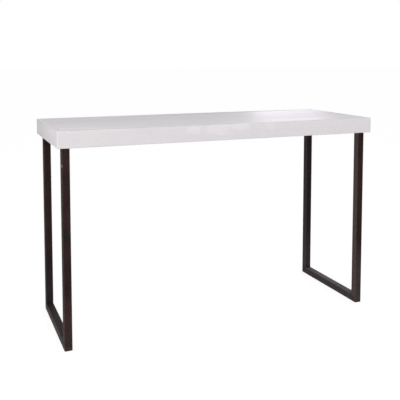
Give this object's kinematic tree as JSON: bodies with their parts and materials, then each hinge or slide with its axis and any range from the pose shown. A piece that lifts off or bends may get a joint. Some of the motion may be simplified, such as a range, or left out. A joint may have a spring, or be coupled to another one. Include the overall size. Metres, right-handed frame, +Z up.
{
  "type": "standing bar table",
  "caption": "Long, narrow standing-height bar table: thick boxed timber top in white paint on square-tube steel leg frames that stand along its short ends.",
  "frame": {"origin": "on the floor, under the middle of the top", "axes": "+X along the table's length, to the right for someone who faces the front; -Y out of the front; +Z up"},
  "size_m": [1.8, 0.66, 1.1],
  "materials": {
    "white_painted_timber": "satin white paint over planed and brushed softwood, edges eased by hand",
    "raw_pine": "planed, unfinished",
    "beech_dowel": "turned, unfinished",
    "dark_lacquered_steel": "dark brown patina on mild steel under clear satin lacquer",
    "zinc_screw": "bright zinc plate",
    "black_nylon": "moulded matt"
  },
  "bodies": {
    "root": {"front_edge_board": "white_painted_timber", "rear_edge_board": "white_painted_timber", "left_end_board": "white_painted_timber", "right_end_board": "white_painted_timber", "deck_board_1": "white_painted_timber", "deck_board_2": "white_painted_timber", "deck_board_3": "white_painted_timber", "deck_board_4": "white_painted_timber", "deck_board_5": "white_painted_timber", "left_batten": "raw_pine", "middle_batten": "raw_pine", "right_batten": "raw_pine", "left_front_leg": "dark_lacquered_steel", "left_rear_leg": "dark_lacquered_steel", "left_bottom_rail": "dark_lacquered_steel", "left_top_rail": "dark_lacquered_steel", "left_fixing_bar": "dark_lacquered_steel", "left_frame_welds": "dark_lacquered_steel", "right_front_leg": "dark_lacquered_steel", "right_rear_leg": "dark_lacquered_steel", "right_bottom_rail": "dark_lacquered_steel", "right_top_rail": "dark_lacquered_steel", "right_fixing_bar": "dark_lacquered_steel", "right_frame_welds": "dark_lacquered_steel", "batten_screws": "zinc_screw", "fixing_screws": "zinc_screw", "deck_dowels": "beech_dowel", "corner_dowels": "beech_dowel", "left_glides": "black_nylon", "right_glides": "black_nylon"}
  },
  "joints": []
}
